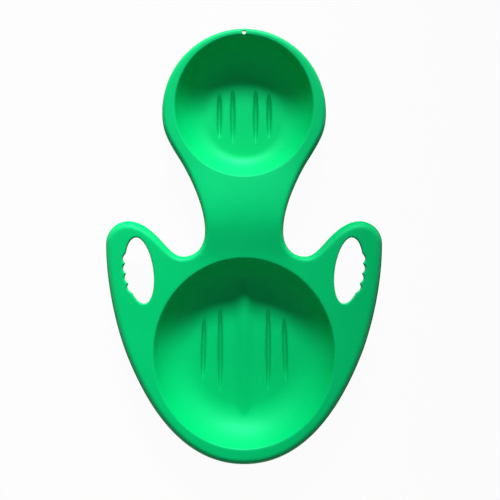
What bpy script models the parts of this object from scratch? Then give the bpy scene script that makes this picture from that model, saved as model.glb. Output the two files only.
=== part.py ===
"""Two-dish snow sled, moulded in one piece from green plastic.

The nose points along +Y, the wings with their hand holes spread along X, and +Z is up.
The shell stands on the plane z = 0 on eight short keels, with its middle over the origin.
All lengths are in metres. The shell's right half is drawn in plan, lifted by one height
rule, mirrored and thickened, and then flattened under the keels and drilled at the nose.
"""

import math

import bmesh
import bpy
from mathutils import Vector
from mathutils.geometry import delaunay_2d_cdt, interpolate_bezier

# Driving dimensions of the shell seen from above
foot_dish_width = 0.2380
foot_dish_length = 0.2420
foot_rim_nose = 0.0126
foot_rim_side = 0.0225
foot_floor_setback = 0.0089
seat_dish_length = 0.3264
seat_rim_tail = 0.0300
seat_rim_side = 0.0466
wing_reach = 0.0831
dish_spacing = 0.4228
waist_width = 0.1352
waist_to_seat = 0.2097
bay_spacing_share = 0.5256
bay_ahead_of_seat_dish = 0.0024
handle_top_from_side = 0.0391
handle_rise = 0.0613
sled_width = 0.4770
handle_side_drop = 0.0395
wing_setback = 0.0060

# Driving dimensions of the shell seen from the side
wall = 0.0024
dish_depth = 0.0510
foot_floor_share = 0.567
seat_floor_share = 0.594
wall_turn = math.radians(65)
lip_radius = 0.0040
rim_radius = 0.0120
front_rim_share = 0.65
skirt_flare = 0.0030
edge_depth = 0.0180
neck_rise = 0.0095
neck_rise_nose_reach = 0.1200
neck_rise_seat_reach = 0.0920
neck_rise_ahead_of_seat = 0.23465
neck_rise_half_width = 0.0500
neck_rise_fade = 0.0800

# Hand holes
hand_hole_length = 0.1136
hand_hole_inner = 0.0224
hand_hole_outer = 0.0246
hand_hole_from_side = 0.0613
hand_hole_below_top = 0.0290
hand_hole_tilt = math.radians(8.2)
hand_hole_lip = 0.0028
hand_hole_flange = 0.0070
finger_pitch = 0.0172
finger_depth = 0.0042
finger_count = 4
first_finger_edge = 0.0328

# Keels pressed down into the dish floors, and the raised rib down the middle of the seat
keel_width = 0.0096
keel_depth = 0.0054
keel_nose_fullness = 2.5
keel_tail_fullness = 2.0
keel_floor_fullness = 3.0
keel_flat = 0.0005
foot_keel_place_shares = (0.307, 0.666)
foot_keel_length_shares = (0.722, 0.600)
seat_keel_place_shares = (0.467, 0.794)
seat_keel_length_shares = (0.802, 0.597)
foot_keel_toe_out = (0.0, 0.0)
seat_keel_toe_out = (0.0, math.radians(1.6))
seat_rib_nose_height = 0.0076
seat_rib_tail_height = 0.0032
seat_rib_nose_half_width = 0.0225
seat_rib_tail_half_width = 0.0165
rib_blend = 0.0014

# Cord hole at the nose
cord_hole_diameter = 0.0068
cord_hole_from_nose = 0.0091
cord_hole_reach = 0.0090

# Spacing of the mesh's own points
outline_steps = (12, 8, 8, 7, 5, 5, 8, 10, 15)
rim_steps = 4
hand_hole_lip_steps = 2
lip_steps = 3
wall_steps = 6
ring_steps = 24
keel_steps = 10
rib_column_steps = 4
fill_spacing = 0.0240
fill_clearance = 0.0140
same_point = 1e-7
seam_merge = 0.0001
overrun = 0.0100

# Widths that follow the sled's width
seat_dish_width = sled_width - 2 * wing_reach
handle_top_spacing = sled_width - 2 * handle_top_from_side
bay_spacing = handle_top_spacing * bay_spacing_share

# Places along the sled, from its tail at -half_length to its nose at +half_length
foot_reach = foot_dish_length / 2 + foot_rim_nose
seat_reach = seat_dish_length / 2 + seat_rim_tail
half_length = (foot_reach + dish_spacing + seat_reach) / 2
foot_y = half_length - foot_reach
seat_y = foot_y - dish_spacing
lobe_radius = foot_dish_width / 2 + foot_rim_side
lobe_y = half_length - lobe_radius
bay_y = seat_y + seat_dish_length / 2 + bay_ahead_of_seat_dish
handle_top_y = bay_y + handle_rise
floor_z = keel_depth + wall - keel_flat
deck_z = floor_z + dish_depth
skirt_z = deck_z - edge_depth


def heading(degrees):
    """The unit direction at a bearing from +X."""
    return Vector((math.cos(math.radians(degrees)), math.sin(math.radians(degrees))))


def outline_knots():
    """Knots of the right half outline, from nose to tail, each with its heading."""
    flank_shares = (0.567, 0.415)
    flank_x = waist_width / 2 + (lobe_radius - waist_width / 2) * flank_shares[0]
    waist_y = seat_y + waist_to_seat
    flank_y = lobe_y + (waist_y - lobe_y) * flank_shares[1]
    grip_shares = (0.425, 0.487)
    bay_x = bay_spacing / 2
    top_x = handle_top_spacing / 2
    grip_x = bay_x + (top_x - bay_x) * grip_shares[0]
    grip_y = bay_y + (handle_top_y - bay_y) * grip_shares[1]
    wing_x = seat_dish_width / 2 + seat_rim_side
    return [
        (Vector((0, half_length)), heading(0)),
        (Vector((lobe_radius, lobe_y)), heading(-90)),
        (Vector((flank_x, flank_y)), heading(-122.3)),
        (Vector((waist_width / 2, waist_y)), heading(-90)),
        (Vector((bay_x, bay_y)), heading(0)),
        (Vector((grip_x, grip_y)), heading(47.8)),
        (Vector((top_x, handle_top_y)), heading(0)),
        (Vector((sled_width / 2, handle_top_y - handle_side_drop)), heading(-90)),
        (Vector((wing_x, seat_y - wing_setback)), heading(-111.8)),
        (Vector((0, -half_length)), heading(180)),
    ]


def outline_points():
    """The right half outline as points from nose to tail, through the knots.

    Each span's two curve handles are shares of the straight distance between its knots.
    """
    handle_shares = (
        (0.3905, 0.3905), (0.355, 0.502), (0.150, 0.367),
        (0.582, 0.274), (0.294, 0.457), (0.243, 0.369),
        (0.398, 0.384), (0.395, 0.210), (0.450, 0.329),
    )
    knots = outline_knots()
    points = []
    for i, steps in enumerate(outline_steps):
        (start, leave), (end, arrive) = knots[i], knots[i + 1]
        chord = (end - start).length
        handle_a = start + leave * chord * handle_shares[i][0]
        handle_b = end - arrive * chord * handle_shares[i][1]
        span = interpolate_bezier(start, handle_a, handle_b, end, steps + 1)
        points.extend(point.to_2d() for point in span[:-1])
    points.append(knots[-1][0])
    points[0].x = 0
    return points


def inward_normals(points, closed=False):
    """Unit normals to a row of points, to the right of its direction of travel."""
    normals = []
    last = len(points) - 1
    for i in range(len(points)):
        before = points[i - 1] if closed or i > 0 else points[i]
        after = points[(i + 1) % len(points)] if closed or i < last else points[i]
        along = (after - before).normalized()
        normals.append(Vector((along.y, -along.x)))
    return normals


class Dish:
    """An oval dish: a level floor, a wall that curves up to a steep top, and a round lip."""

    def __init__(self, centre_y, width, length, floor_share, floor_shift):
        self.centre_y = centre_y
        self.floor_y = centre_y - floor_shift
        mean_radius = (width + length) / 4
        run = mean_radius * (1 - floor_share)
        climb = math.sin(wall_turn) * math.tan(wall_turn) / (1 - math.cos(wall_turn))
        slope = math.atan2(dish_depth * climb, run)
        self.lip_run = lip_radius * math.sin(slope)
        self.lip_fall = lip_radius * (1 - math.cos(slope))
        self.half_x = width / 2 - self.lip_run / 2
        self.half_y = length / 2 - self.lip_run / 2
        self.floor_share = floor_share
        self.lip_share = self.lip_run / run
        self.slope = slope

    def share(self, x, y):
        """How far out a point lies: 0 at the floor's edge, 1 at the top of the wall."""
        shift = (self.centre_y - self.floor_y) / self.half_y
        across = x / self.half_x
        along = (y - self.floor_y) / self.half_y
        grow = 1 - self.floor_share
        a = shift * shift - grow * grow
        b = -2 * (along * shift + self.floor_share * grow)
        c = across * across + along * along - self.floor_share * self.floor_share
        return (-b - math.sqrt(max(b * b - 4 * a * c, 0))) / (2 * a)

    def ring_point(self, share, angle):
        """The point at a bearing on the ring that lies this far out."""
        size = self.floor_share + (1 - self.floor_share) * share
        middle = self.floor_y + (self.centre_y - self.floor_y) * share
        x = self.half_x * size * math.cos(angle)
        return Vector((x, middle + self.half_y * size * math.sin(angle)))

    def fall(self, share, depth):
        """How far the surface lies below the deck."""
        if share >= 1 + self.lip_share:
            return 0
        if share >= 1:
            across = (1 + self.lip_share - share) / self.lip_share * math.sin(self.slope)
            return lip_radius * (1 - math.sqrt(1 - across * across))
        if share <= 0:
            return depth
        rise = 1 - math.sqrt(1 - (share * math.sin(wall_turn)) ** 2)
        return depth - (depth - self.lip_fall) * rise / (1 - math.cos(wall_turn))

    def rings(self):
        """Shares at which the wall and the lip get a ring of points."""
        shares = [1 + self.lip_share * (1 - math.sin(self.slope * i / lip_steps) / math.sin(self.slope))
                  for i in range(lip_steps)]
        shares += [math.sin(wall_turn * i / wall_steps) / math.sin(wall_turn)
                   for i in range(wall_steps, -1, -1)]
        return shares


foot_dish = Dish(foot_y, foot_dish_width, foot_dish_length, foot_floor_share, foot_floor_setback)
seat_dish = Dish(seat_y, seat_dish_width, seat_dish_length, seat_floor_share, 0)


class Keel:
    """A keel pressed down into a dish floor along Y: blunt towards the nose, tapered to the tail."""

    def __init__(self, x, y, length, toe_out):
        self.place = Vector((x, y))
        self.half = length / 2
        self.along = Vector((math.sin(-toe_out), math.cos(toe_out)))
        self.across = Vector((self.along.y, -self.along.x))

    def fullness(self, station):
        """How full the outline is at a station: 2 gives an oval, and more is blunter."""
        return keel_nose_fullness if station > 0 else keel_tail_fullness

    def point(self, station, side):
        """A point at a station from -1 to 1 along the keel and a side from -1 to 1 across it."""
        power = self.fullness(station)
        width = keel_width / 2 * (1 - min(abs(station), 1) ** power) ** (1 / power)
        return self.place + self.along * self.half * station + self.across * width * side

    def fall(self, x, y):
        """How far the keel lies below the floor, with steep sides and a rounded bottom."""
        offset = Vector((x, y)) - self.place
        station = offset.dot(self.along) / self.half
        side = offset.dot(self.across) / (keel_width / 2)
        power = self.fullness(station)
        outwards = (abs(station) ** power + abs(side) ** power) ** (1 / power)
        return keel_depth * max(0, 1 - outwards ** keel_floor_fullness)


def keels_in(dish, place_shares, length_shares, toe_out):
    """The keels of a dish's right half, placed and sized by its level floor."""
    across = dish.half_x * dish.floor_share
    along = dish.half_y * dish.floor_share
    return [Keel(across * place, dish.floor_y, 2 * along * length, toe)
            for place, length, toe in zip(place_shares, length_shares, toe_out)]


keels = keels_in(foot_dish, foot_keel_place_shares, foot_keel_length_shares, foot_keel_toe_out)
keels += keels_in(seat_dish, seat_keel_place_shares, seat_keel_length_shares, seat_keel_toe_out)


def bell(distance, reach):
    """A smooth hump: 1 at no distance, level there and at its reach, and 0 beyond."""
    return (1 + math.cos(math.pi * min(abs(distance) / reach, 1))) / 2


def deck_height(x, y):
    """Height of the deck, which arches a little over the neck."""
    side = max(abs(x) - neck_rise_half_width, 0)
    along = y - (seat_y + neck_rise_ahead_of_seat)
    reach = neck_rise_nose_reach if along > 0 else neck_rise_seat_reach
    return deck_z + neck_rise * bell(along, reach) * bell(side, neck_rise_fade)


def rib_height(x, y):
    """Height of the seat's rib above the floor. It gets lower and narrower towards the tail."""
    reach = seat_dish.half_y * seat_dish.floor_share
    back = min(max((seat_dish.floor_y + reach - y) / (2 * reach), 0), 1)
    height = seat_rib_nose_height + (seat_rib_tail_height - seat_rib_nose_height) * back
    half_width = seat_rib_nose_half_width + (seat_rib_tail_half_width - seat_rib_nose_half_width) * back
    return height * bell(x, half_width)


def surface_height(x, y):
    """Height of the upper surface anywhere inside the rolled rim."""
    deck = deck_height(x, y)
    height = deck
    for dish in (foot_dish, seat_dish):
        height = min(height, deck - dish.fall(dish.share(x, y), deck - floor_z))
    if seat_dish.share(x, y) < 1:
        rib = floor_z + rib_height(x, y)
        near = max(rib_blend - abs(height - rib), 0) / rib_blend
        height = max(height, rib) + near * near * rib_blend / 4 * bell(x, seat_rib_tail_half_width)
    for keel in keels:
        height -= keel.fall(x, y)
    return height


def hand_hole_points():
    """The clear outline of the right hand hole, clockwise, with a wave for each finger."""
    half = hand_hole_length / 2
    centre_y = handle_top_y - hand_hole_below_top - half * math.cos(hand_hole_tilt)
    centre = Vector((sled_width / 2 - hand_hole_from_side, centre_y))
    along = Vector((math.sin(hand_hole_tilt), math.cos(hand_hole_tilt)))
    across = Vector((along.y, -along.x))
    last_edge = first_finger_edge - finger_count * finger_pitch
    finger_steps = 6
    end_steps = 6
    stations = [half * math.cos(math.acos(first_finger_edge / half) * i / end_steps) for i in range(end_steps)]
    stations += [first_finger_edge - finger_pitch * i / finger_steps for i in range(finger_count * finger_steps)]
    last_angle = math.acos(last_edge / half)
    stations += [half * math.cos(last_angle + (math.pi - last_angle) * i / end_steps) for i in range(end_steps)]
    points = []
    for station in stations:
        side = hand_hole_outer * math.sqrt(max(1 - (station / half) ** 2, 0))
        if last_edge < station < first_finger_edge:
            side += finger_depth * abs(math.sin(math.pi * (first_finger_edge - station) / finger_pitch))
        points.append(centre + along * station + across * side)
    inner_steps = 14
    for i in range(inner_steps):
        angle = math.pi * i / inner_steps
        points.append(centre - along * half * math.cos(angle) - across * hand_hole_inner * math.sin(angle))
    return points


def inside(point, polygon):
    """Whether a point lies inside a closed row of points."""
    odd = False
    for a, b in zip(polygon, polygon[1:] + polygon[:1]):
        if (a.y > point.y) != (b.y > point.y):
            if point.x < a.x + (b.x - a.x) * (point.y - a.y) / (b.y - a.y):
                odd = not odd
    return odd


def nearest(point, points):
    """Distance from a point to the nearest of a row of points."""
    return min((point - other).length for other in points)


def fine_rim(dish):
    """Close-set points on the right half of a dish's outer edge."""
    count = 10 * ring_steps
    turn = math.pi / count
    return [dish.ring_point(1 + dish.lip_share, -math.pi / 2 + turn * i) for i in range(count + 1)]


def rim_share(point):
    """The rim's share of its full width: all along wings and tail, and less round neck and foot dish."""
    if point.y > handle_top_y + rim_radius:
        return front_rim_share
    if point.y < bay_y - rim_radius:
        return 1
    up_the_wing = min(max((2 * point.x - bay_spacing) / (handle_top_spacing - bay_spacing), 0), 1)
    return front_rim_share + (1 - front_rim_share) * (1 - bell(up_the_wing, 1))


def rim_fits(outline, hole_outer):
    """How much of the rim's full width each outline point gets, also where a dish or hole is near."""
    roll_share = 0.82
    rims = fine_rim(foot_dish) + fine_rim(seat_dish) + hole_outer
    rooms = [roll_share * nearest(point, rims) / (rim_radius + skirt_flare) for point in outline]
    return [min(room, rim_share(point)) for room, point in zip(rooms, outline)]


class Plan:
    """Points and lines in plan, which become the triangles of the upper surface."""

    def __init__(self):
        self.points = []
        self.lines = []

    def chain(self, points, closed=False):
        first = len(self.points)
        self.points.extend(points)
        for i in range(len(points) - 1):
            self.lines.append((first + i, first + i + 1))
        if closed:
            self.lines.append((len(self.points) - 1, first))
        return range(first, len(self.points))


def ring_bearings(dish, share, columns):
    """Bearings from tail side to nose side, with extra ones where the rib's columns cross."""
    bearings = [-math.pi / 2 + math.pi * i / ring_steps for i in range(ring_steps + 1)]
    if columns:
        reach = dish.ring_point(share, 0).x
        crossings = [math.acos(column / reach) for column in columns]
        clear = 2 * crossings[-1] - crossings[-2]
        bearings = [b for b in bearings if abs(b) <= clear]
        bearings += crossings + [-b for b in crossings]
    return sorted(bearings)


def plan_of_half(rim_inner, hole_outer):
    """Draws the right half inside the rolled rim: its edge, dishes, keels, rib and hand hole."""
    plan = Plan()
    rim_row = plan.chain(rim_inner, closed=True)
    hole_row = plan.chain(hole_outer, closed=True)
    rib_half_width = max(seat_rib_nose_half_width, seat_rib_tail_half_width)
    rib_columns = [rib_half_width * i / rib_column_steps for i in range(rib_column_steps + 1)]
    rib_end_share = 0.62
    for dish in (foot_dish, seat_dish):
        for share in dish.rings():
            columns = rib_columns if dish is seat_dish and share < rib_end_share else None
            ring = [dish.ring_point(share, b) for b in ring_bearings(dish, share, columns)]
            ring[0].x = 0
            ring[-1].x = 0
            plan.chain(ring)
    for keel in keels:
        stations = [-math.cos(math.pi * i / keel_steps) for i in range(keel_steps + 1)]
        for side in (-1, -0.7, 0, 0.7, 1):
            plan.chain([keel.point(station, side) for station in stations])
    floor_front = seat_dish.ring_point(0, math.pi / 2).y
    floor_back = seat_dish.ring_point(0, -math.pi / 2).y
    rib_rows = 12
    for column in rib_columns:
        for i in range(1, rib_rows):
            plan.points.append(Vector((column, floor_back + (floor_front - floor_back) * i / rib_rows)))
    fill(plan, rim_inner, hole_outer)
    return plan, rim_row, hole_row


def fill(plan, rim_inner, hole_outer):
    """Adds evenly spaced points wherever the plan is still empty."""
    fixed = list(plan.points)
    rows = int(2 * half_length / fill_spacing)
    columns = int(sled_width / 2 / fill_spacing)
    for row in range(rows + 1):
        for column in range(columns + 1):
            place = Vector((fill_spacing * (column + (row % 2) / 2), -half_length + fill_spacing * row))
            if not inside(place, rim_inner) or inside(place, hole_outer):
                continue
            if nearest(place, fixed) > fill_clearance:
                plan.points.append(place)


def add_strip(mesh, upper, lower, closed=False):
    """Joins two rows of vertices with four-sided faces."""
    count = len(upper) if closed else len(upper) - 1
    for i in range(count):
        j = (i + 1) % len(upper)
        mesh.faces.new((upper[i], upper[j], lower[j], lower[i]))


def add_rolled_edge(mesh, row, edge, normals, radii, flares, bottoms, steps, closed=False):
    """Rolls the surface over from a row of vertices, and then slants it down to the edge."""
    heights = [vertex.co.z for vertex in row]
    slants = []
    for radius, flare, height, bottom in zip(radii, flares, heights, bottoms):
        run, fall = radius + flare, height - radius - bottom
        slants.append(math.atan2(fall, run) + math.asin(radius / math.hypot(run, fall)))
    above = row
    for step in range(1, steps + 1):
        below = []
        for point, normal, radius, flare, height, slant in zip(edge, normals, radii, flares, heights, slants):
            turn = slant * step / steps
            place = point + normal * (radius * (1 - math.sin(turn)) + flare)
            below.append(mesh.verts.new((place.x, place.y, height - radius * (1 - math.cos(turn)))))
        add_strip(mesh, above, below, closed)
        above = below
    skirt = [mesh.verts.new((point.x, point.y, bottom)) for point, bottom in zip(edge, bottoms)]
    add_strip(mesh, above, skirt, closed)


def build_upper_surface():
    """The right half of the upper surface as an open mesh, from rib to rim."""
    outline = outline_points()
    normals = inward_normals(outline)
    normals[0] = Vector((0, -1))
    normals[-1] = Vector((0, 1))
    hole = hand_hole_points()
    hole_normals = [-n for n in inward_normals(hole, closed=True)]
    hole_outer = [p + n * hand_hole_lip for p, n in zip(hole, hole_normals)]
    fits = rim_fits(outline, hole_outer)
    radii = [rim_radius * fit for fit in fits]
    flares = [skirt_flare * fit for fit in fits]
    rim_inner = [p + n * (r + f) for p, n, r, f in zip(outline, normals, radii, flares)]

    plan, rim_row, hole_row = plan_of_half(rim_inner, hole_outer)
    places, _, faces, origins, _, _ = delaunay_2d_cdt(plan.points, plan.lines, [], 1, same_point)
    mesh = bmesh.new()
    vertices = [mesh.verts.new((p.x, p.y, surface_height(p.x, p.y))) for p in places]
    for face in faces:
        centre = sum((places[i] for i in face), Vector((0, 0))) / len(face)
        if not inside(centre, hole_outer):
            mesh.faces.new([vertices[i] for i in face])
    found = {origin: i for i, group in enumerate(origins) for origin in group}

    row = [vertices[found[i]] for i in rim_row]
    add_rolled_edge(mesh, row, outline, normals, radii, flares, [skirt_z] * len(row), rim_steps)
    row = [vertices[found[i]] for i in hole_row]
    lips = [hand_hole_lip] * len(row)
    upright = [0] * len(row)
    bottoms = [vertex.co.z - hand_hole_flange for vertex in row]
    add_rolled_edge(mesh, row, hole, hole_normals, lips, upright, bottoms, hand_hole_lip_steps, closed=True)

    loose = [vertex for vertex in mesh.verts if not vertex.link_faces]
    bmesh.ops.delete(mesh, geom=loose, context="VERTS")
    bmesh.ops.recalc_face_normals(mesh, faces=mesh.faces)
    if sum(face.normal.z * face.calc_area() for face in mesh.faces) < 0:
        bmesh.ops.reverse_faces(mesh, faces=mesh.faces)
    return mesh


def plastic(name, colour):
    """Satin moulded polyethylene."""
    material = bpy.data.materials.new(name)
    material.use_nodes = True
    shader = material.node_tree.nodes["Principled BSDF"]
    shader.inputs["Base Color"].default_value = colour
    shader.inputs["Roughness"].default_value = 0.45
    shader.inputs["Metallic"].default_value = 0.0
    return material


def new_object(name, mesh, collection):
    """Turns a bmesh into a named object in a collection."""
    data = bpy.data.meshes.new(name)
    mesh.to_mesh(data)
    mesh.free()
    item = bpy.data.objects.new(name, data)
    collection.objects.link(item)
    return item


def as_cutter(item):
    item.hide_render = True
    item.display_type = "WIRE"
    return item


def cut(target, cutter, name):
    modifier = target.modifiers.new(name, "BOOLEAN")
    modifier.operation = "DIFFERENCE"
    modifier.solver = "EXACT"
    modifier.object = cutter


for item in list(bpy.data.objects):
    bpy.data.objects.remove(item, do_unlink=True)

sled = bpy.data.collections.new("snow_sled")
cutters = bpy.data.collections.new("cutters")
bpy.context.scene.collection.children.link(sled)
bpy.context.scene.collection.children.link(cutters)

# The shell: half surface, mirrored, thickened downwards
shell = new_object("sled_shell", build_upper_surface(), sled)
shell.data.materials.append(plastic("green_polyethylene", (0.0, 0.52, 0.19, 1)))
shell.data.shade_smooth()
shell.data.set_sharp_from_angle(angle=math.radians(35))
mirror = shell.modifiers.new("both_halves", "MIRROR")
mirror.use_axis = (True, False, False)
mirror.use_clip = True
mirror.merge_threshold = seam_merge
thicken = shell.modifiers.new("wall", "SOLIDIFY")
thicken.thickness = wall
thicken.offset = -1
thicken.use_even_offset = True
thicken.use_quality_normals = True

# The ground plane flattens the keels where the sled stands
box = bmesh.new()
bmesh.ops.create_cube(box, size=1)
bmesh.ops.scale(box, vec=(sled_width + overrun, 2 * half_length + overrun, overrun), verts=box.verts)
bmesh.ops.translate(box, vec=(0, 0, -overrun / 2), verts=box.verts)
ground = as_cutter(new_object("ground_cutter", box, cutters))
cut(shell, ground, "keel_flats")

# The cord hole goes down through the rim of the nose
drill_bit = bmesh.new()
bmesh.ops.create_cone(drill_bit, cap_ends=True, segments=24, radius1=cord_hole_diameter / 2,
                      radius2=cord_hole_diameter / 2, depth=cord_hole_reach + overrun)
drill_y = half_length - cord_hole_from_nose
drill_z = deck_z + overrun - (cord_hole_reach + overrun) / 2
bmesh.ops.translate(drill_bit, vec=(0, drill_y, drill_z), verts=drill_bit.verts)
drill = as_cutter(new_object("cord_hole_cutter", drill_bit, cutters))
cut(shell, drill, "cord_hole")
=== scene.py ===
import math

import bmesh
import bpy
import numpy as np
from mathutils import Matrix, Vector
from mathutils.geometry import delaunay_2d_cdt, interpolate_bezier
from mathutils.kdtree import KDTree


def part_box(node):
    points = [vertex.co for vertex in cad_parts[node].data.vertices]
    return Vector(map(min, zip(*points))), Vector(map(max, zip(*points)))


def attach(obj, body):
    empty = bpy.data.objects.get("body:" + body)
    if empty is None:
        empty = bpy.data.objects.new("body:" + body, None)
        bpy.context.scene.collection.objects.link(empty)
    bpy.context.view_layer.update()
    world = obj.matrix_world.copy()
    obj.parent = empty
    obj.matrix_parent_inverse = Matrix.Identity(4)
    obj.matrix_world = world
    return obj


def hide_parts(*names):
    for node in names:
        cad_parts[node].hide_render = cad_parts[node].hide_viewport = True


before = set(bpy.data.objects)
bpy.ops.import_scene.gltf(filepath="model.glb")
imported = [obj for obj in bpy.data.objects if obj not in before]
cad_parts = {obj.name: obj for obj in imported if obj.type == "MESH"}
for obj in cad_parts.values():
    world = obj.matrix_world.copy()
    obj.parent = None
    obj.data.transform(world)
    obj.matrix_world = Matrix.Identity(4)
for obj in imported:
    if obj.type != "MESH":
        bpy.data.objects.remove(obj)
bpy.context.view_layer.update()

# The sled shell, seen from above.
# The real sled is one moulding of green polyethylene: a foot dish, a short neck and a seat dish
# between two wings. Its outline is one smooth line, which the mould's edge gives it.
shell_low, shell_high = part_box("sled_shell")
sled_width = round(shell_high.x - shell_low.x, 4)
half_length = round(shell_high.y, 4)
foot_dish_width = 0.2380
foot_dish_length = 0.2420
foot_rim_nose = 0.0126
foot_rim_side = 0.0225
foot_floor_setback = 0.0089
seat_dish_length = 0.3264
seat_rim_side = 0.0466
wing_reach = 0.0831
dish_spacing = 0.4228
waist_width = 0.1352
waist_to_seat = 0.2097
bay_x = 0.1048
bay_ahead_of_seat_dish = 0.0024
handle_top_from_side = 0.0391
handle_rise = 0.0613
handle_side_drop = 0.0395
wing_setback = 0.0060
flank_across_share = 0.567
flank_along_share = 0.415
flank_heading = -122.3
grip_across_share = 0.425
grip_along_share = 0.487
grip_heading = 47.8
wing_heading = -111.8
outline_steps_per_metre = 260
fewest_span_steps = 4

seat_dish_width = sled_width - 2 * wing_reach
foot_dish_y = half_length - foot_dish_length / 2 - foot_rim_nose
seat_dish_y = foot_dish_y - dish_spacing
lobe_radius = foot_dish_width / 2 + foot_rim_side
lobe_y = half_length - lobe_radius
waist_y = seat_dish_y + waist_to_seat
bay_y = seat_dish_y + seat_dish_length / 2 + bay_ahead_of_seat_dish
handle_top_x = sled_width / 2 - handle_top_from_side
handle_top_y = bay_y + handle_rise


def heading(degrees):
    """The unit direction at a bearing from +X."""
    return Vector((math.cos(math.radians(degrees)), math.sin(math.radians(degrees))))


def half_outline():
    """The right half of the sled's edge, from the middle of the nose to the middle of the tail.

    Each knot has a place and a heading. A span between two knots keeps to their headings over
    its two heading shares of the straight way between them.
    """
    flank = (waist_width / 2 + (lobe_radius - waist_width / 2) * flank_across_share,
             lobe_y + (waist_y - lobe_y) * flank_along_share)
    grip = (bay_x + (handle_top_x - bay_x) * grip_across_share,
            bay_y + (handle_top_y - bay_y) * grip_along_share)
    knots = (
        ((0, half_length), 0), ((lobe_radius, lobe_y), -90), (flank, flank_heading),
        ((waist_width / 2, waist_y), -90), ((bay_x, bay_y), 0), (grip, grip_heading),
        ((handle_top_x, handle_top_y), 0), ((sled_width / 2, handle_top_y - handle_side_drop), -90),
        ((seat_dish_width / 2 + seat_rim_side, seat_dish_y - wing_setback), wing_heading),
        ((0, -half_length), 180),
    )
    heading_shares = (
        (0.3905, 0.3905), (0.355, 0.502), (0.150, 0.367), (0.582, 0.274), (0.294, 0.457),
        (0.243, 0.369), (0.398, 0.384), (0.395, 0.210), (0.450, 0.329),
    )
    points = []
    for (start, leave), (end, arrive), (near, far) in zip(knots, knots[1:], heading_shares):
        start, end = Vector(start), Vector(end)
        chord = (end - start).length
        steps = max(fewest_span_steps, round(chord * outline_steps_per_metre))
        span = interpolate_bezier(start, start + heading(leave) * chord * near,
                                  end - heading(arrive) * chord * far, end, steps + 1)
        points.extend(point.to_2d() for point in span[:-1])
    points.append(Vector((0, -half_length)))
    points = np.array(points)
    points[0, 0] = 0
    return points


def right_hand_normals(points, closed=False):
    """Unit normals to the right of the way that a row of points runs."""
    along = np.roll(points, -1, 0) - np.roll(points, 1, 0)
    if not closed:
        along[0] = points[1] - points[0]
        along[-1] = points[-1] - points[-2]
    along /= np.linalg.norm(along, axis=1)[:, None]
    return np.stack((along[:, 1], -along[:, 0]), 1)


# The two dishes and the neck between them.
# Each dish has a level floor, a wall that curves up ever steeper and a round lip. The deck
# arches a little over the neck. They are drawn down into the hot sheet by the mould.
wall = 0.0024
keel_depth = 0.0054
keel_flat = 0.0005
dish_depth = 0.0510
foot_floor_share = 0.567
seat_floor_share = 0.594
wall_turn = math.radians(65)
lip_radius = 0.0040
neck_rise = 0.0095
neck_rise_ahead_of_seat = 0.23465
neck_rise_nose_reach = 0.1200
neck_rise_seat_reach = 0.0920
neck_rise_half_width = 0.0500
neck_rise_fade = 0.0800

floor_z = keel_depth + wall - keel_flat
deck_z = floor_z + dish_depth
neck_rise_y = seat_dish_y + neck_rise_ahead_of_seat


class Dish:
    """A hollow with a level oval floor, a curved wall and a round lip."""

    def __init__(self, y, width, length, floor_share, setback=0.0):
        self.y = y
        self.floor_y = y - setback
        self.floor_share = floor_share
        run = (width + length) / 4 * (1 - floor_share)
        climb = math.sin(wall_turn) * math.tan(wall_turn) / (1 - math.cos(wall_turn))
        self.slope = math.atan2((deck_z - floor_z) * climb, run)
        lip_run = lip_radius * math.sin(self.slope)
        self.lip_fall = lip_radius * (1 - math.cos(self.slope))
        self.half_x = width / 2 - lip_run / 2
        self.half_y = length / 2 - lip_run / 2
        self.lip_share = lip_run / run

    def share(self, x, y):
        """How far out points lie: 0 at the floor's edge and 1 at the top of the wall."""
        shift = (self.y - self.floor_y) / self.half_y
        across = x / self.half_x
        along = (y - self.floor_y) / self.half_y
        grow = 1 - self.floor_share
        a = shift * shift - grow * grow
        b = -2 * (along * shift + self.floor_share * grow)
        c = across * across + along * along - self.floor_share * self.floor_share
        return (-b - np.sqrt(np.maximum(b * b - 4 * a * c, 0))) / (2 * a)

    def ring(self, share, bearings):
        """Points on the oval that lies this far out."""
        size = self.floor_share + (1 - self.floor_share) * share
        middle = self.floor_y + (self.y - self.floor_y) * share
        x = self.half_x * size * np.cos(bearings)
        return np.stack((x, middle + self.half_y * size * np.sin(bearings)), 1)

    def fall(self, share, depth):
        """How far the surface lies below the deck."""
        across = np.clip((1 + self.lip_share - share) / self.lip_share, 0, 1) * math.sin(self.slope)
        lip = lip_radius * (1 - np.sqrt(1 - across * across))
        turned = np.clip(share, 0, 1) * math.sin(wall_turn)
        rise = (1 - np.sqrt(1 - turned * turned)) / (1 - math.cos(wall_turn))
        return np.where(share >= 1, lip, depth - (depth - self.lip_fall) * rise)


foot_dish = Dish(foot_dish_y, foot_dish_width, foot_dish_length, foot_floor_share, foot_floor_setback)
seat_dish = Dish(seat_dish_y, seat_dish_width, seat_dish_length, seat_floor_share)
dishes = (foot_dish, seat_dish)


def bell(distance, reach):
    """A smooth hump: 1 in the middle and 0 from its reach outwards."""
    return (1 + np.cos(math.pi * np.minimum(np.abs(distance) / reach, 1))) / 2


def deck_height(x, y):
    """Height of the deck, with its arch over the neck."""
    beside = np.maximum(np.abs(x) - neck_rise_half_width, 0)
    reach = np.where(y > neck_rise_y, neck_rise_nose_reach, neck_rise_seat_reach)
    return deck_z + neck_rise * bell(y - neck_rise_y, reach) * bell(beside, neck_rise_fade)


# Keels and the seat's rib.
# Keels are pressed down into both floors, blunt towards the nose and tapered to the tail, and
# keep the sled straight on snow. A low rib rises down the middle of the seat to stiffen it.
keel_width = 0.0096
keel_nose_fullness = 2.5
keel_tail_fullness = 2.0
keel_floor_fullness = 3.0
keel_edge_softness = 0.12
seat_rib_nose_height = 0.0076
seat_rib_tail_height = 0.0032
seat_rib_nose_half_width = 0.0225
seat_rib_tail_half_width = 0.0165
rib_blend = 0.0014


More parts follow.
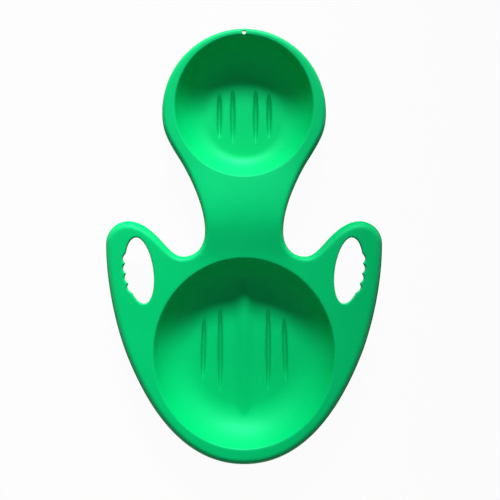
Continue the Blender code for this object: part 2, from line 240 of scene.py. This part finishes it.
class Keel:
    """A lens-shaped groove in a dish's floor, whose lower side is a keel."""

    def __init__(self, dish, place_share, length_share, toe_out=0.0):
        self.place = np.array((dish.half_x * dish.floor_share * place_share, dish.floor_y))
        self.half = dish.half_y * dish.floor_share * length_share
        self.along = np.array((math.sin(-toe_out), math.cos(toe_out)))
        self.across = np.array((self.along[1], -self.along[0]))

    def fullness(self, station):
        """How full the outline is: 2 gives an oval, and more is blunter."""
        return np.where(station > 0, keel_nose_fullness, keel_tail_fullness)

    def points(self, stations, side):
        """Points along the keel, at a side from -1 to 1 across it."""
        power = self.fullness(stations)
        width = keel_width / 2 * (1 - np.minimum(np.abs(stations), 1) ** power) ** (1 / power)
        return self.place + np.outer(stations * self.half, self.along) + np.outer(width * side, self.across)

    def fall(self, x, y):
        """How far the keel lies below the floor, with steep sides and a rounded bottom."""
        offset_x, offset_y = x - self.place[0], y - self.place[1]
        station = (offset_x * self.along[0] + offset_y * self.along[1]) / self.half
        side = (offset_x * self.across[0] + offset_y * self.across[1]) / (keel_width / 2)
        power = self.fullness(station)
        outwards = (np.abs(station) ** power + np.abs(side) ** power) ** (1 / power)
        share = np.maximum(1 - outwards ** keel_floor_fullness, 0)
        return keel_depth * share * share * (1 + keel_edge_softness) / (share + keel_edge_softness)


keels = (
    Keel(foot_dish, place_share=0.307, length_share=0.722),
    Keel(foot_dish, place_share=0.666, length_share=0.600),
    Keel(seat_dish, place_share=0.467, length_share=0.802),
    Keel(seat_dish, place_share=0.794, length_share=0.597, toe_out=math.radians(1.6)),
)


def keel_fall(x, y):
    """How far the keels on either side lie below the floors."""
    return sum(keel.fall(np.abs(x), y) for keel in keels)


def rib_height(x, y):
    """Height of the rib above the floor. It gets lower and narrower towards the tail."""
    reach = seat_dish.half_y * seat_dish.floor_share
    back = np.clip((seat_dish.floor_y + reach - y) / (2 * reach), 0, 1)
    height = seat_rib_nose_height + (seat_rib_tail_height - seat_rib_nose_height) * back
    half_width = seat_rib_nose_half_width + (seat_rib_tail_half_width - seat_rib_nose_half_width) * back
    return height * bell(x, half_width)


def surface_height(x, y):
    """Height of the upper face anywhere inside the rolled rim."""
    deck = deck_height(x, y)
    height = deck
    for dish in dishes:
        height = np.minimum(height, deck - dish.fall(dish.share(x, y), deck - floor_z))
    rib = floor_z + rib_height(x, y)
    near = np.maximum(rib_blend - np.abs(height - rib), 0) / rib_blend
    ribbed = np.maximum(height, rib) + near * near * rib_blend / 4 * bell(x, seat_rib_tail_half_width)
    return np.where(seat_dish.share(x, y) < 1, ribbed, height) - keel_fall(x, y)


# Hand holes.
# An oval hole through each wing, with a wave for each finger on its outer side, so that the
# wing's edge is a handle. The sheet turns down around the hole in a small lip and a flange.
hand_hole_length = 0.1136
hand_hole_inner = 0.0224
hand_hole_outer = 0.0246
hand_hole_from_side = 0.0613
hand_hole_below_top = 0.0290
hand_hole_tilt = math.radians(8.2)
hand_hole_lip = 0.0028
hand_hole_flange = 0.0070
finger_pitch = 0.0172
finger_depth = 0.0042
finger_count = 4
first_finger_edge = 0.0328
steps_per_finger = 12
lip_room_share = 0.9
least_facing = 1e-9

hand_hole_half = hand_hole_length / 2
hand_hole_x = sled_width / 2 - hand_hole_from_side
hand_hole_y = handle_top_y - hand_hole_below_top - hand_hole_half * math.cos(hand_hole_tilt)


def hand_hole_points():
    """The right hand hole's clear outline, clockwise from its end nearest the nose."""
    last_edge = first_finger_edge - finger_count * finger_pitch
    start = math.acos(first_finger_edge / hand_hole_half)
    stop = math.acos(last_edge / hand_hole_half)
    end_steps = 2 * steps_per_finger
    round_start = hand_hole_half * np.cos(np.linspace(0, start, end_steps, endpoint=False))
    wave_steps = np.arange(finger_count * steps_per_finger)
    waves = first_finger_edge - finger_pitch / steps_per_finger * wave_steps
    round_end = hand_hole_half * np.cos(np.linspace(stop, math.pi, end_steps, endpoint=False))
    stations = np.concatenate((round_start, waves, round_end))
    side = hand_hole_outer * np.sqrt(np.maximum(1 - (stations / hand_hole_half) ** 2, 0))
    wave = finger_depth * np.abs(np.sin(math.pi * (first_finger_edge - stations) / finger_pitch))
    side += np.where((stations < first_finger_edge) & (stations > last_edge), wave, 0)
    turn = np.linspace(0, math.pi, 5 * steps_per_finger, endpoint=False)
    stations = np.concatenate((stations, -hand_hole_half * np.cos(turn)))
    side = np.concatenate((side, -hand_hole_inner * np.sin(turn)))
    along = np.array((math.sin(hand_hole_tilt), math.cos(hand_hole_tilt)))
    across = np.array((along[1], -along[0]))
    return np.array((hand_hole_x, hand_hole_y)) + np.outer(stations, along) + np.outer(side, across)


def hand_hole_lips(points, normals):
    """How far the lip rolls at each point: less behind the teeth, so that it never meets itself."""
    apart = points[None] - points[:, None]
    facing = np.maximum((apart * normals[:, None]).sum(2), least_facing)
    ball = (apart ** 2).sum(2) / (2 * facing)
    np.fill_diagonal(ball, np.inf)
    return np.minimum(hand_hole_lip, lip_room_share * ball.min(1))


# The shell's sheet.
# Upper and lower face share one drawing of the right half in plan: edge, dish rings, keels and
# hand hole. The edge rolls over in a bead and ends in a slanting skirt with a rounded end.
rim_radius = 0.0120
front_rim_share = 0.65
skirt_flare = 0.0030
edge_depth = 0.0180
roll_share = 0.82
ball_rings = (0.25, 0.5, 0.72, 0.88, 0.97)
ball_turns = 16
bead_steps = 8
skirt_shares = (0.35, 0.7, 1)
skirt_end_steps = 6
inner_wear = 0.4
lip_steps = 7
wall_steps = 24
ring_steps = 120
dish_edge_steps = 360
keel_steps = 36
keel_lines = (0.28, 0.52, 0.7, 0.84, 0.93, 1)
fill_spacing = 0.0042
fill_row_share = 0.866
fill_clearance_share = 0.6
same_point = 1e-7
seam_merge = 1e-5

skirt_z = deck_z - edge_depth


def underside_height(x, y):
    """Height of the lower face, a wall's thickness off the upper one and flat below the keels."""
    lowest = surface_height(x, y) - wall
    for share in ball_rings:
        drop = wall * math.sqrt(1 - share * share)
        for turn in range(ball_turns):
            bearing = 2 * math.pi * (turn + share) / ball_turns
            beside_x = x + wall * share * math.cos(bearing)
            beside_y = y + wall * share * math.sin(bearing)
            lowest = np.minimum(lowest, surface_height(beside_x, beside_y) - drop)
    return np.maximum(lowest, shell_low.z)


def inside(points, polygon):
    """Which points lie inside a closed row of points."""
    odd = np.zeros(len(points), bool)
    for (ax, ay), (bx, by) in zip(polygon, np.roll(polygon, -1, 0)):
        if ay == by:
            continue
        crosses = (ay > points[:, 1]) != (by > points[:, 1])
        odd ^= crosses & (points[:, 0] < ax + (bx - ax) * (points[:, 1] - ay) / (by - ay))
    return odd


def distances(points, others):
    """The distance from each point to the nearest of the others."""
    tree = KDTree(len(others))
    for i, (x, y) in enumerate(others):
        tree.insert((x, y, 0), i)
    tree.balance()
    return np.array([tree.find((x, y, 0))[2] for x, y in points])


def half_turn(steps):
    """Bearings from the tail round the right side to the nose."""
    return np.linspace(-math.pi / 2, math.pi / 2, steps + 1)


def rim_share(points):
    """The rim's share of its full width: all along wings and tail, and less round neck and foot dish."""
    up_the_wing = np.clip((points[:, 0] - bay_x) / (handle_top_x - bay_x), 0, 1)
    share = front_rim_share + (1 - front_rim_share) * (1 - bell(up_the_wing, 1))
    share = np.where(points[:, 1] > handle_top_y + rim_radius, front_rim_share, share)
    return np.where(points[:, 1] < bay_y - rim_radius, 1, share)


def rim_sizes(outline, hole_row):
    """The bead's radius and the skirt's flare at each point of the edge, less where room is short."""
    dish_edges = [dish.ring(1 + dish.lip_share, half_turn(dish_edge_steps)) for dish in dishes]
    room = roll_share * distances(outline, np.concatenate(dish_edges + [hole_row]))
    fit = np.minimum(room / (rim_radius + skirt_flare), rim_share(outline))
    return rim_radius * fit, skirt_flare * fit


class Plan:
    """Points in plan, and the lines between them that the mesh has to keep."""

    def __init__(self):
        self.points = []
        self.lines = []

    def chain(self, points, closed=False):
        """Adds a row of joined points and gives their numbers."""
        first = len(self.points)
        self.points.extend(tuple(point) for point in points)
        self.lines.extend((first + i, first + i + 1) for i in range(len(points) - 1))
        if closed:
            self.lines.append((len(self.points) - 1, first))
        return range(first, len(self.points))


def half_plan(rim_row, hole_row):
    """Draws the right half inside the rolled rim, with rings and lines where the shape turns."""
    plan = Plan()
    rim = plan.chain(rim_row, closed=True)
    hole = plan.chain(hole_row, closed=True)
    lip_turns = np.linspace(0, 1, lip_steps, endpoint=False)
    wall_turns = np.linspace(1, 0, wall_steps + 1)
    for dish in dishes:
        lips = 1 + dish.lip_share * (1 - np.sin(dish.slope * lip_turns) / math.sin(dish.slope))
        walls = np.sin(wall_turn * wall_turns) / math.sin(wall_turn)
        for share in np.concatenate((lips, walls)):
            ring = dish.ring(share, half_turn(ring_steps))
            ring[0, 0] = ring[-1, 0] = 0
            plan.chain(ring)
    stations = np.sin(half_turn(keel_steps))
    for keel in keels:
        for side in keel_lines:
            plan.chain(keel.points(stations, side))
            plan.chain(keel.points(stations, -side))
        plan.chain(keel.points(stations, 0))
    fixed = np.array(plan.points)
    columns = np.arange(0, sled_width / 2, fill_spacing)
    rows = np.arange(-half_length, half_length, fill_spacing * fill_row_share)
    x, y = np.meshgrid(columns, rows)
    x = x + (np.arange(len(rows)) % 2)[:, None] * fill_spacing / 2
    fill = np.stack((x.ravel(), y.ravel()), 1)
    fill = fill[inside(fill, rim_row) & ~inside(fill, hole_row)]
    fill = fill[distances(fill, fixed) > fill_spacing * fill_clearance_share]
    plan.points.extend(tuple(point) for point in fill)
    return plan, rim, hole


def rolled_rows(edge, normals, radii, flares, slants, crest, bottoms, face_in):
    """Rows of points from the crest of a rolled edge over its bead and down its skirt."""
    rows = []
    bead = radii - face_in
    for share in np.linspace(0, 1, bead_steps + 1)[1:]:
        inwards = radii + flares - bead * np.sin(slants * share)
        place = edge + normals * inwards[:, None]
        rows.append(np.column_stack((place, crest - radii + bead * np.cos(slants * share))))
    last = rows[-1]
    inwards = wall / 2 * np.cos(slants) + face_in * np.sin(slants)
    heights = bottoms + wall / 2 * np.sin(slants) - face_in * np.cos(slants)
    end = np.column_stack((edge + normals * inwards[:, None], heights))
    rows.extend(last + (end - last) * share for share in skirt_shares)
    return rows


def rounded_end(edge, normals, slants, bottoms):
    """Rows around the rounded lower end of a skirt, between its outer and its inner face."""
    rows = []
    for turn in np.linspace(0, math.pi, skirt_end_steps + 1)[1:-1]:
        back, across = wall / 2 * (1 - math.sin(turn)), wall / 2 * (1 - math.cos(turn))
        inwards = back * np.cos(slants) + across * np.sin(slants)
        heights = bottoms + back * np.sin(slants) - across * np.cos(slants)
        rows.append(np.column_stack((edge + normals * inwards[:, None], heights)))
    return rows


class Sheet:
    """Vertices, faces and how worn each vertex is, gathered for one mesh."""

    def __init__(self):
        self.places = []
        self.wear = []
        self.faces = []
        self.under = []

    def row(self, places, wear):
        """Adds vertices that are worn alike and gives their numbers."""
        first = len(self.places)
        self.places.extend(tuple(place) for place in places)
        self.wear.extend([wear] * len(places))
        return list(range(first, len(self.places)))

    def face(self, corners, under=False):
        """Adds a face, on the lower side of the sheet or not."""
        self.faces.append(tuple(corners))
        self.under.append(under)

    def strip(self, above, below, closed):
        """Joins two rows of vertices by a strip of faces."""
        for i in range(len(above) if closed else len(above) - 1):
            j = (i + 1) % len(above)
            self.face((above[i], above[j], below[j], below[i]))


def add_edge(sheet, top_row, low_row, edge, normals, radii, flares, bottoms, closed):
    """Rolls both faces of the sheet over an edge and closes them with a rounded end."""
    crest = np.array([sheet.places[i][2] for i in top_row])
    run, drop = radii + flares, crest - radii - bottoms
    slants = np.arctan2(drop, run) + np.arcsin(radii / np.hypot(run, drop))
    outer = rolled_rows(edge, normals, radii, flares, slants, crest, bottoms, 0)
    ends = rounded_end(edge, normals, slants, bottoms)
    inner = rolled_rows(edge, normals, radii, flares, slants, crest, bottoms, wall)
    wears = [min(1, (i + 1) / bead_steps) for i in range(len(outer))]
    wears += [1] * len(ends) + [inner_wear] * len(inner)
    above = top_row
    for places, wear in zip(outer + ends + inner[::-1], wears):
        below = sheet.row(places, wear)
        sheet.strip(above, below, closed)
        above = below
    sheet.strip(above, low_row, closed)


def add_faces(sheet, flat, faces, top, low, hole_row):
    """Adds the faces drawn in plan to both sides of the sheet, all but those in the hand hole."""
    centres = np.array([flat[list(face)].mean(0) for face in faces])
    for face, in_hole in zip(faces, inside(centres, hole_row)):
        if in_hole:
            continue
        a, b, c = (flat[i] for i in face[:3])
        turns_left = (b[0] - a[0]) * (c[1] - a[1]) - (b[1] - a[1]) * (c[0] - a[0]) > 0
        up = list(face) if turns_left else list(face)[::-1]
        sheet.face(top[i] for i in up)
        sheet.face((low[i] for i in reversed(up)), under=True)


def build_half():
    """The shell's right half as one sheet, closed everywhere but along the middle."""
    outline = half_outline()
    normals = right_hand_normals(outline)
    normals[0] = (0, -1)
    normals[-1] = (0, 1)
    hole = hand_hole_points()
    hole_normals = -right_hand_normals(hole, closed=True)
    lips = hand_hole_lips(hole, hole_normals)
    hole_row = hole + hole_normals * lips[:, None]
    radii, flares = rim_sizes(outline, hole_row)
    rim_row = outline + normals * (radii + flares)[:, None]
    rim_row[0, 0] = rim_row[-1, 0] = 0

    plan, rim, hole_ring = half_plan(rim_row, hole_row)
    points = [Vector(point) for point in plan.points]
    places, _, faces, origins, _, _ = delaunay_2d_cdt(points, plan.lines, [], 1, same_point)
    flat = np.array([(place.x, place.y) for place in places])
    found = {origin: i for i, group in enumerate(origins) for origin in group}

    sheet = Sheet()
    x, y = flat[:, 0], flat[:, 1]
    top = sheet.row(np.column_stack((flat, np.minimum(surface_height(x, y), shell_high.z))), 0)
    low = sheet.row(np.column_stack((flat, underside_height(x, y))), 0)
    for i, pressed in zip(low, keel_fall(x, y)):
        sheet.wear[i] = pressed / keel_depth
    add_faces(sheet, flat, faces, top, low, hole_row)

    top_row, low_row = ([side[found[i]] for i in rim] for side in (top, low))
    bottoms = np.full(len(outline), skirt_z)
    add_edge(sheet, top_row, low_row, outline, normals, radii, flares, bottoms, closed=False)
    top_row, low_row = ([side[found[i]] for i in hole_ring] for side in (top, low))
    bottoms = np.array([sheet.places[i][2] for i in top_row]) - hand_hole_flange
    no_flare = np.zeros(len(hole))
    add_edge(sheet, top_row, low_row, hole, hole_normals, lips, no_flare, bottoms, closed=True)
    return sheet


def sheet_mesh(sheet):
    """The gathered sheet as a bmesh, whose vertices carry masks of the wear and of the grooves, the latter
    for painted shade.
    """
    mesh = bmesh.new()
    wear_layer = mesh.verts.layers.float.new("wear")
    # The groove mask is how deep each keel is pressed. The upper plastic uses it to paint shade into the
    # grooves.
    groove_shade_layer = mesh.verts.layers.float.new("groove")
    places = np.array(sheet.places)
    vertices = []
    for place, wear, pressed in zip(places, sheet.wear, keel_fall(places[:, 0], places[:, 1])):
        vertex = mesh.verts.new(place)
        vertex[wear_layer] = wear
        vertex[groove_shade_layer] = pressed / keel_depth
        vertices.append(vertex)
    for corners, under in zip(sheet.faces, sheet.under):
        face = mesh.faces.new([vertices[i] for i in corners])
        face.material_index = 1 if under else 0
        face.smooth = True
    loose = [vertex for vertex in mesh.verts if not vertex.link_faces]
    bmesh.ops.delete(mesh, geom=loose, context="VERTS")
    bmesh.ops.recalc_face_normals(mesh, faces=mesh.faces)
    return mesh


def add_object(name, mesh):
    """Makes an object from a finished bmesh and links it into the scene."""
    data = bpy.data.meshes.new(name)
    mesh.to_mesh(data)
    mesh.free()
    made = bpy.data.objects.new(name, data)
    bpy.context.scene.collection.objects.link(made)
    return made


shell = add_object("sled_shell_skin", sheet_mesh(build_half()))
mirror = shell.modifiers.new("both_halves", "MIRROR")
mirror.use_clip = True
mirror.merge_threshold = seam_merge

# The cord hole.
# One hole is drilled down through the rolled rim in the middle of the nose, for a pull cord.
cord_hole_diameter = 0.0068
cord_hole_from_nose = 0.0091
drill_length = 0.0400
drill_sides = 48

drill = bmesh.new()
bmesh.ops.create_cone(drill, cap_ends=True, segments=drill_sides, radius1=cord_hole_diameter / 2,
                      radius2=cord_hole_diameter / 2, depth=drill_length)
bmesh.ops.translate(drill, vec=(0, half_length - cord_hole_from_nose, deck_z), verts=drill.verts)
drill_bit = add_object("cord_drill", drill)
drilled = shell.modifiers.new("cord_hole", "BOOLEAN")
drilled.operation = "DIFFERENCE"
drilled.solver = "EXACT"
drilled.object = drill_bit
bpy.context.view_layer.update()
solid = bpy.data.meshes.new_from_object(shell.evaluated_get(bpy.context.evaluated_depsgraph_get()))
shell.modifiers.clear()
shell.data = solid
bpy.data.objects.remove(drill_bit, do_unlink=True)

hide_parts("sled_shell")
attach(shell, "root")

# The shell's plastic.
# Polyethylene coloured through in the mass, with the fine grain that a blasted mould leaves.
# Skirt and keels show faint scuffs, the grooves get painted shade that darkens their colour, and the
# underside is drier.
plastic_ior = 1.38
gloss_tint = (0.2, 1.0, 0.9, 1)
gloss_level = 0.5
gloss_fades_from_wear = 0.4
scuff_green = (0.16, 0.66, 0.38, 1)
scuff_roughness = 0.25
peel_share = 1.6
streak_stretch = (700, 30, 300)


def feed(links, socket, value):
    """Gives an input either another node's output or a plain value."""
    if isinstance(value, bpy.types.NodeSocket):
        links.new(value, socket)
    else:
        socket.default_value = value


def calculate(nodes, links, operation, *values):
    """The result of a sum on outputs and plain numbers."""
    node = nodes.new("ShaderNodeMath")
    node.operation = operation
    for socket, value in zip(node.inputs, values):
        feed(links, socket, value)
    return node.outputs["Value"]


def spread(nodes, links, value, low=0.0, high=1.0, to_low=0.0, to_high=1.0):
    """A value between two limits, spread between two others and held there outside them."""
    node = nodes.new("ShaderNodeMapRange")
    limits = {"From Min": low, "From Max": high, "To Min": to_low, "To Max": to_high}
    for name, limit in limits.items():
        node.inputs[name].default_value = limit
    links.new(value, node.inputs["Value"])
    return node.outputs["Result"]


def noise(nodes, links, place, scale, detail, roughness=0.5, distortion=0.0):
    """Cloudy noise over the given places."""
    node = nodes.new("ShaderNodeTexNoise")
    links.new(place, node.inputs["Vector"])
    feed(links, node.inputs["Scale"], scale)
    node.inputs["Detail"].default_value = detail
    node.inputs["Roughness"].default_value = roughness
    node.inputs["Distortion"].default_value = distortion
    return node.outputs["Fac"]


def mix_colours(nodes, links, factor, first, second, blend="MIX"):
    """Two colours mixed by a mask."""
    node = nodes.new("ShaderNodeMix")
    node.data_type = "RGBA"
    node.blend_type = blend
    for name, value in (("Factor", factor), ("A", first), ("B", second)):
        feed(links, node.inputs[name], value)
    return node.outputs["Result"]


def mesh_mask(nodes, name):
    """A mask that the mesh's vertices carry."""
    node = nodes.new("ShaderNodeAttribute")
    node.attribute_name = name
    return node.outputs["Fac"]


def moulded_grain_group():
    """Grain, flow and scuffs of moulded plastic, as masks and a height that change over it."""
    group = bpy.data.node_groups.new("moulded_grain", "ShaderNodeTree")
    for name, value in (("Grain size", 1400.0), ("Flow size", 7.0), ("Scuffs", 0.3)):
        socket = group.interface.new_socket(name, in_out="INPUT", socket_type="NodeSocketFloat")
        socket.default_value = value
    for name in ("Height", "Flow", "Scuff"):
        group.interface.new_socket(name, in_out="OUTPUT", socket_type="NodeSocketFloat")
    nodes, links = group.nodes, group.links
    given = nodes.new("NodeGroupInput").outputs
    out = nodes.new("NodeGroupOutput").inputs
    place = nodes.new("ShaderNodeTexCoord").outputs["Object"]

    grain = noise(nodes, links, place, given["Grain size"], detail=3.0, roughness=0.55)
    peel = noise(nodes, links, place, scale=120.0, detail=2.0)
    links.new(calculate(nodes, links, "MULTIPLY_ADD", peel, peel_share, grain), out["Height"])

    flow = noise(nodes, links, place, given["Flow size"], detail=4.0, roughness=0.6, distortion=0.8)
    links.new(flow, out["Flow"])

    stretch = nodes.new("ShaderNodeMapping")
    stretch.inputs["Scale"].default_value = streak_stretch
    links.new(place, stretch.inputs["Vector"])
    streaks = noise(nodes, links, stretch.outputs["Vector"], scale=1.0, detail=2.0)
    patches = noise(nodes, links, place, scale=45.0, detail=3.0)
    streaks = spread(nodes, links, streaks, low=0.56, high=0.72)
    patches = spread(nodes, links, patches, low=0.42, high=0.68)
    both = calculate(nodes, links, "MULTIPLY", streaks, patches)
    links.new(calculate(nodes, links, "MULTIPLY", both, given["Scuffs"]), out["Scuff"])
    return group


moulded_grain = moulded_grain_group()


def green_plastic(name, deep, pale, groove_painted_shade, smoothest, roughest, grain_depth, scuffs):
    """Satin polyethylene whose colour and gloss drift a little, with scuffs where it is worn and painted
    shade in the grooves.
    """
    material = bpy.data.materials.new(name)
    material.use_nodes = True
    nodes, links = material.node_tree.nodes, material.node_tree.links
    shader = nodes["Principled BSDF"].inputs
    shader["Metallic"].default_value = 0.0
    shader["IOR"].default_value = plastic_ior
    shader["Specular Tint"].default_value = gloss_tint
    grain = nodes.new("ShaderNodeGroup")
    grain.node_tree = moulded_grain
    grain.inputs["Scuffs"].default_value = scuffs
    flow = grain.outputs["Flow"]
    groove = mesh_mask(nodes, "groove")
    worn = mesh_mask(nodes, "wear")
    scuff = calculate(nodes, links, "MULTIPLY", worn, grain.outputs["Scuff"])

    tint = mix_colours(nodes, links, spread(nodes, links, flow, low=0.3, high=0.7), deep, pale)
    # Painted shade: the groove mask multiplies the grooves' colour darker, standing in for the shade in
    # these recesses.
    groove_shade_grey = (groove_painted_shade, groove_painted_shade, groove_painted_shade, 1)
    groove_shaded = mix_colours(nodes, links, groove, tint, groove_shade_grey, "MULTIPLY")
    links.new(mix_colours(nodes, links, scuff, groove_shaded, scuff_green), shader["Base Color"])

    gloss = spread(nodes, links, worn, low=gloss_fades_from_wear, to_low=gloss_level, to_high=0.0)
    links.new(gloss, shader["Specular IOR Level"])
    rough = spread(nodes, links, flow, to_low=smoothest, to_high=roughest)
    links.new(calculate(nodes, links, "MULTIPLY_ADD", scuff, scuff_roughness, rough), shader["Roughness"])

    bump = nodes.new("ShaderNodeBump")
    bump.inputs["Strength"].default_value = 1.0
    bump.inputs["Distance"].default_value = grain_depth
    links.new(grain.outputs["Height"], bump.inputs["Height"])
    links.new(bump.outputs["Normal"], shader["Normal"])
    return material


# The upper face gets painted shade in its grooves. The underside's groove shade of 1.0 leaves its colour as
# it is.
upper_plastic = green_plastic("green_plastic_upper", deep=(0.0, 0.575, 0.160, 1),
                              pale=(0.0, 0.615, 0.175, 1), groove_painted_shade=0.74, smoothest=0.46, roughest=0.54,
                              grain_depth=0.000012, scuffs=0.35)
lower_plastic = green_plastic("green_plastic_underside", deep=(0.0, 0.550, 0.186, 1),
                              pale=(0.0, 0.595, 0.204, 1), groove_painted_shade=1.0, smoothest=0.46, roughest=0.60,
                              grain_depth=0.000020, scuffs=0.8)
shell.data.materials.clear()
shell.data.materials.append(upper_plastic)
shell.data.materials.append(lower_plastic)

# Floor, light and camera.
# A white studio floor, a wide soft lamp low beyond the nose with a black card before its right
# half, weak light all round, and the camera straight above the sled, as in the photograph.
floor_size = 12.0
paper_grey = (0.60, 0.60, 0.60, 1)
white = (1, 1, 1, 1)
seen_white_share = 0.960
light_all_round = 0.100
lamp_distance = 14.0
lamp_elevation = math.radians(29.4)
lamp_bearing = math.radians(2.5)
lamp_width = 6.2
lamp_depth = 2.9
lamp_energy = 3560
card_distance = 1.7
card_edge_x = 0.235
card_size = 2.0
camera_above_deck = 1.15
camera_place = (0.0102, -0.0049, deck_z + camera_above_deck)


def seen_rays(nodes, links):
    """1 for what the camera sees, straight or in a gloss or through glass, and 0 for plain lighting."""
    rays = nodes.new("ShaderNodeLightPath").outputs
    seen = rays["Is Camera Ray"]
    for kind in ("Is Glossy Ray", "Is Transmission Ray"):
        seen = calculate(nodes, links, "MAXIMUM", seen, rays[kind])
    return seen


def white_paper():
    """Matt paper that is seen nearly white, and still shows the shadow that falls on it."""
    material = bpy.data.materials.new("white_paper")
    material.use_nodes = True
    nodes, links = material.node_tree.nodes, material.node_tree.links
    shader = nodes["Principled BSDF"]
    shader.inputs["Base Color"].default_value = paper_grey
    shader.inputs["Roughness"].default_value = 0.9
    shader.inputs["Specular IOR Level"].default_value = 0.0
    bright = nodes.new("ShaderNodeEmission")
    bright.inputs["Color"].default_value = white
    mixed = nodes.new("ShaderNodeMixShader")
    whitened = calculate(nodes, links, "MULTIPLY", seen_rays(nodes, links), seen_white_share)
    links.new(whitened, mixed.inputs["Fac"])
    links.new(shader.outputs["BSDF"], mixed.inputs[1])
    links.new(bright.outputs["Emission"], mixed.inputs[2])
    links.new(mixed.outputs["Shader"], nodes["Material Output"].inputs["Surface"])
    return material


def add_square(name, size):
    """A flat square of the stage, facing up before it is turned."""
    mesh = bmesh.new()
    bmesh.ops.create_grid(mesh, x_segments=1, y_segments=1, size=size / 2)
    square = add_object(name, mesh)
    return square


floor = add_square("studio_floor", floor_size)
floor.data.materials.append(white_paper())

world = bpy.data.worlds.new("studio")
world.use_nodes = True
bpy.context.scene.world = world
nodes, links = world.node_tree.nodes, world.node_tree.links
around = nodes["Background"]
around.inputs["Color"].default_value = white
level = spread(nodes, links, seen_rays(nodes, links), to_low=light_all_round)
links.new(level, around.inputs["Strength"])

beam = Vector((math.sin(lamp_bearing) * math.cos(lamp_elevation),
               math.cos(lamp_bearing) * math.cos(lamp_elevation), math.sin(lamp_elevation)))
lamp = bpy.data.lights.new("key_lamp", "AREA")
lamp.shape = "ELLIPSE"
lamp.size = lamp_width
lamp.size_y = lamp_depth
lamp.energy = lamp_energy
lamp_holder = bpy.data.objects.new("key_lamp", lamp)
lamp_holder.location = beam * lamp_distance
lamp_holder.rotation_euler = (-lamp_holder.location).to_track_quat("-Z", "Y").to_euler()
bpy.context.scene.collection.objects.link(lamp_holder)

card = add_square("black_card", card_size)
card.location = beam * card_distance + Vector((card_edge_x + card_size / 2, 0, 0))
card.rotation_euler = lamp_holder.rotation_euler
card.visible_camera = False
card.visible_diffuse = False
card.visible_glossy = False

lens = bpy.data.cameras.new("camera")
lens.type = "PERSP"
lens.lens = 48.7
lens.sensor_width = 36
camera = bpy.data.objects.new("camera", lens)
camera.location = camera_place
bpy.context.scene.collection.objects.link(camera)
bpy.context.scene.camera = camera

bpy.context.scene.view_settings.view_transform = "Standard"
